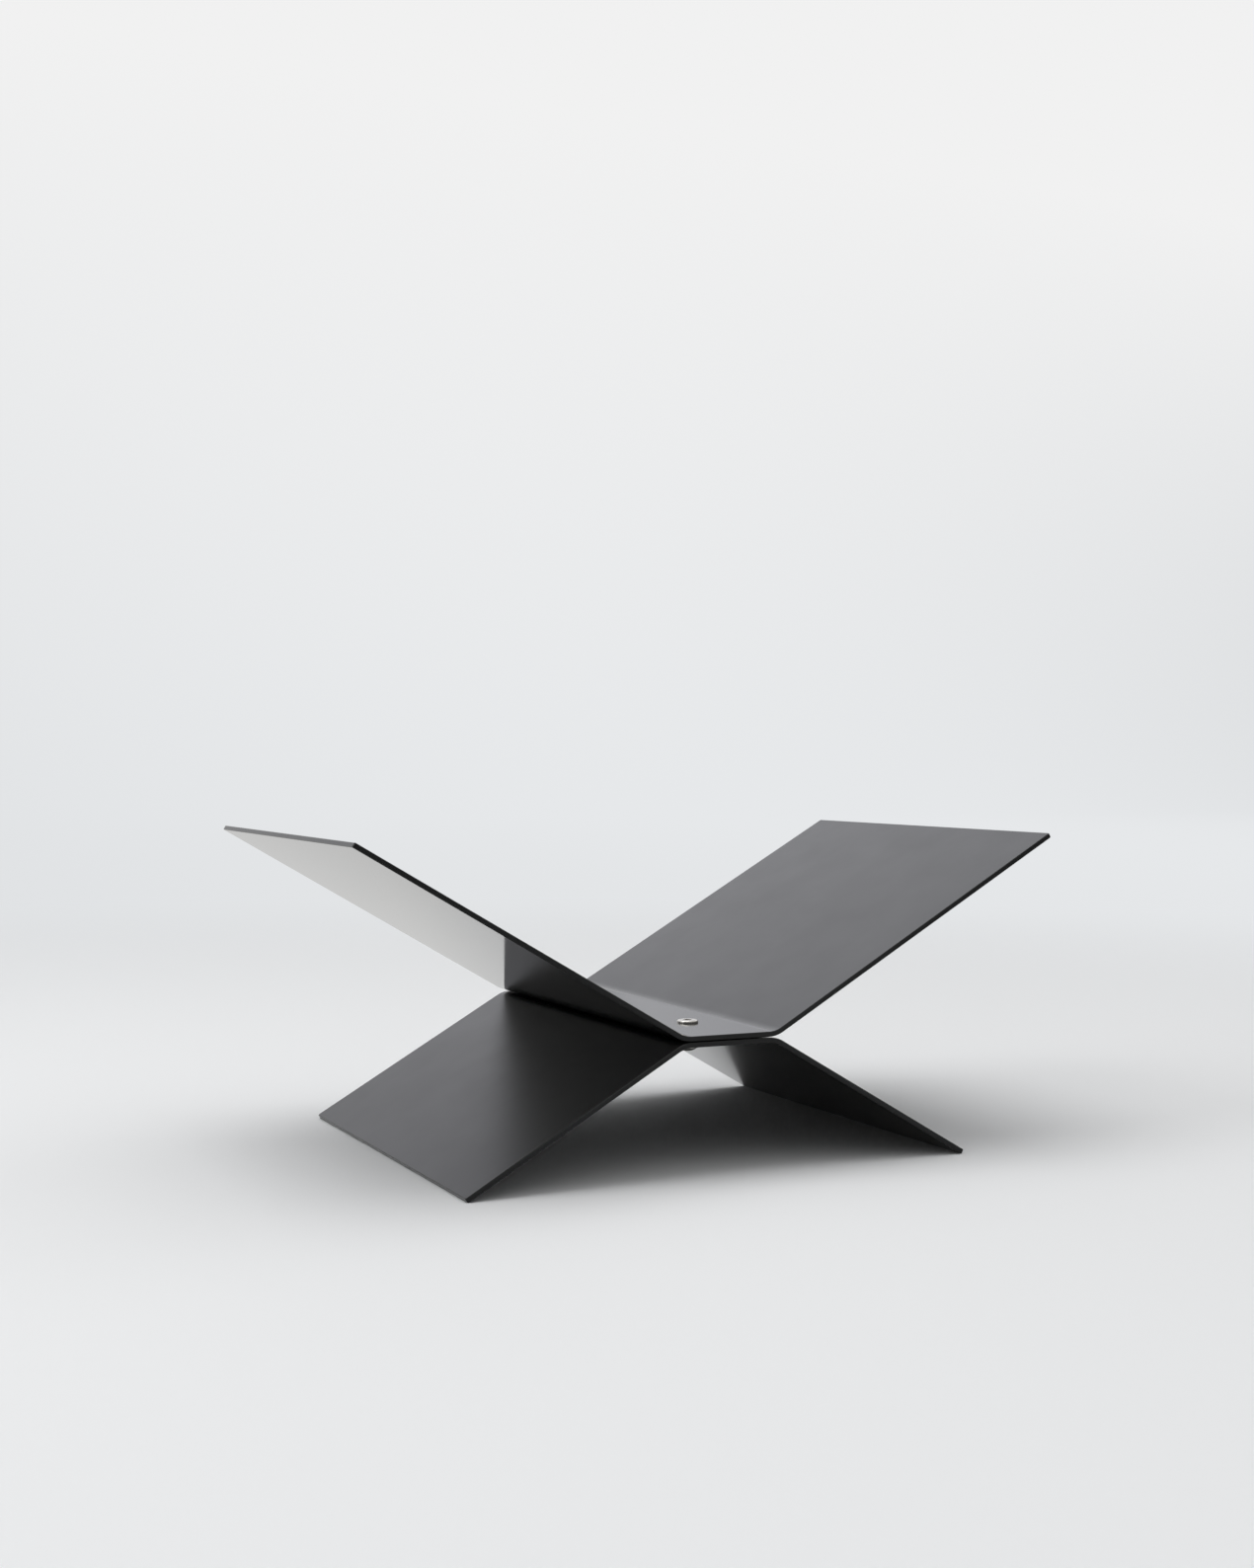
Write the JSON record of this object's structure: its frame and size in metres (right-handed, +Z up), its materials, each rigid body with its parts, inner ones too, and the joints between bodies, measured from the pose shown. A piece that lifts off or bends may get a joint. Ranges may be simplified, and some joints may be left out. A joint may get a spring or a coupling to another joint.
{
  "type": "book stand",
  "caption": "Low table stand for an open book: bent black sheet steel crossed back to back, wings rising in a shallow V and legs splaying below, joined by two low-head screws.",
  "frame": {"origin": "on the table, under the middle of the stand", "axes": "+X across the open book, from the left wing to the right wing; +Y from the front edges to the back edges; +Z up"},
  "size_m": [0.2996, 0.18, 0.129],
  "materials": {
    "powder_coat": "fine satin black powder coat on sheet steel",
    "stainless_steel": "satin turned stainless steel"
  },
  "bodies": {
    "root": {"upper_plate": "powder_coat", "lower_plate": "powder_coat", "screw_front": "stainless_steel", "screw_rear": "stainless_steel", "washer_front": "stainless_steel", "washer_rear": "stainless_steel", "cap_nut_front": "stainless_steel", "cap_nut_rear": "stainless_steel"}
  },
  "joints": []
}
